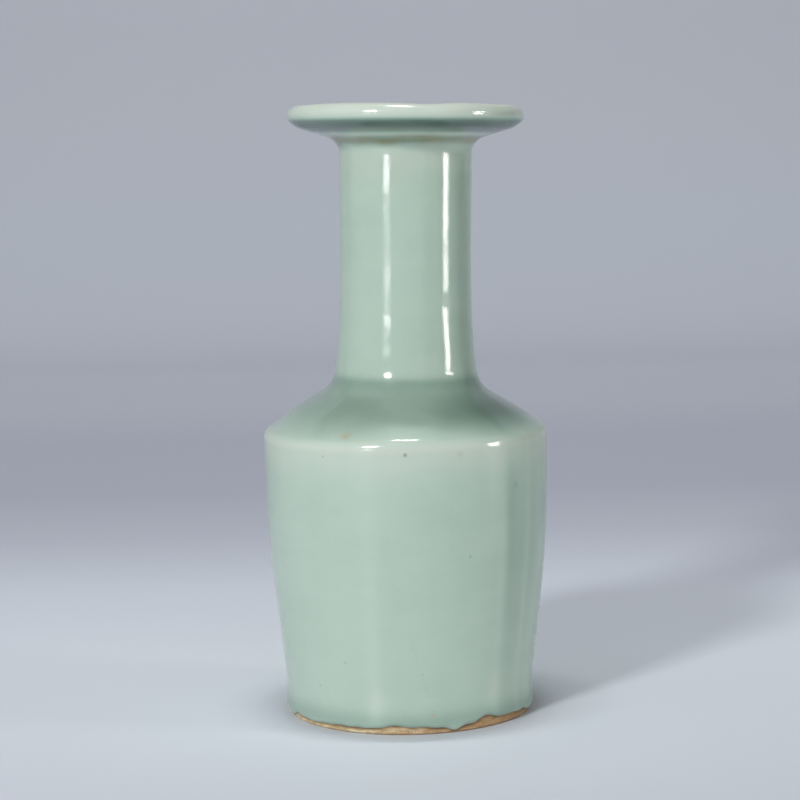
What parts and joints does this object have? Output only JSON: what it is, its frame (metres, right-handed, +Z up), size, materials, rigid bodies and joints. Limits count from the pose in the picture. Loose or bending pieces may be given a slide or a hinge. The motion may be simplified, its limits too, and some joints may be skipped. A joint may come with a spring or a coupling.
{
  "type": "mallet vase",
  "caption": "Ceramic mallet vase: flat dish mouth with a rounded lip, straight neck, canted shoulder, tapering body and bare-edged foot ring under a thick celadon glaze.",
  "frame": {"origin": "centre of the foot, on the plane that the vase stands on", "axes": "+Z up along the axis of the vase; the vase is round, so +X and +Y are free"},
  "size_m": [0.0808, 0.0808, 0.172],
  "materials": {
    "clay": "fired stoneware, bare and burnt orange-brown at the foot",
    "slip": "fired luting slip, under the glaze",
    "celadon_glaze": "thick glossy blue-green celadon"
  },
  "bodies": {
    "root": {"body_cup": "clay", "shoulder": "clay", "neck": "clay", "mouth_dish": "clay", "seam_body": "slip", "seam_neck": "slip", "seam_mouth": "slip", "glaze_outside": "celadon_glaze", "glaze_inside": "celadon_glaze", "glaze_base": "celadon_glaze"}
  },
  "joints": []
}
